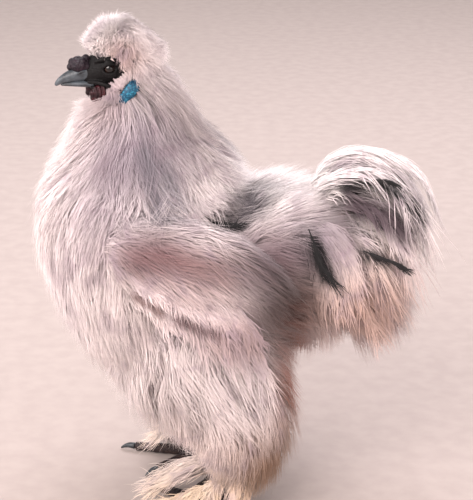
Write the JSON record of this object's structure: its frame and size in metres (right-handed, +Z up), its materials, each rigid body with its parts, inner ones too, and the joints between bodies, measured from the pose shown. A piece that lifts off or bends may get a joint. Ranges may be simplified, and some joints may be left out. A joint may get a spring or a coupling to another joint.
{
  "type": "silkie chicken model",
  "caption": "Life-size still model of a standing silkie cockerel with a puffed crest, hackle cape, ragged wings, arched tail and feathered five-toed feet.",
  "frame": {"origin": "centre of the bird's bounding box, on the floor it stands on", "axes": "+Z up, -X the way the bird faces, -Y its left side"},
  "size_m": [0.2922, 0.198, 0.3512],
  "materials": {
    "plumage": "matt, soft, off-white silky feather",
    "mulberry_skin": "matt black skin and leg scales",
    "slate_horn": "satin slate-grey horn",
    "comb_skin": "dull dark purple, pebbled",
    "wattle_skin": "soft satin dark red",
    "lobe_skin": "satin turquoise",
    "dark_eye": "wet, glossy, near black"
  },
  "bodies": {
    "root": {"beak_lower": "slate_horn", "beak_upper": "slate_horn", "breast": "plumage", "cheek_left": "plumage", "cheek_right": "plumage", "claw_left_1": "slate_horn", "claw_left_2": "slate_horn", "claw_left_3": "slate_horn", "claw_left_4": "slate_horn", "claw_left_5": "slate_horn", "claw_right_1": "slate_horn", "claw_right_2": "slate_horn", "claw_right_3": "slate_horn", "claw_right_4": "slate_horn", "claw_right_5": "slate_horn", "comb": "comb_skin", "crest": "plumage", "earlobe_left": "lobe_skin", "earlobe_right": "lobe_skin", "eye_left": "dark_eye", "eye_right": "dark_eye", "foot_left": "mulberry_skin", "foot_plumes_left": "plumage", "foot_plumes_right": "plumage", "foot_right": "mulberry_skin", "head": "mulberry_skin", "neck": "plumage", "tail": "plumage", "thigh_left": "plumage", "thigh_right": "plumage", "torso": "plumage", "wattle_left": "wattle_skin", "wattle_right": "wattle_skin", "wing_left": "plumage", "wing_right": "plumage"}
  },
  "joints": []
}
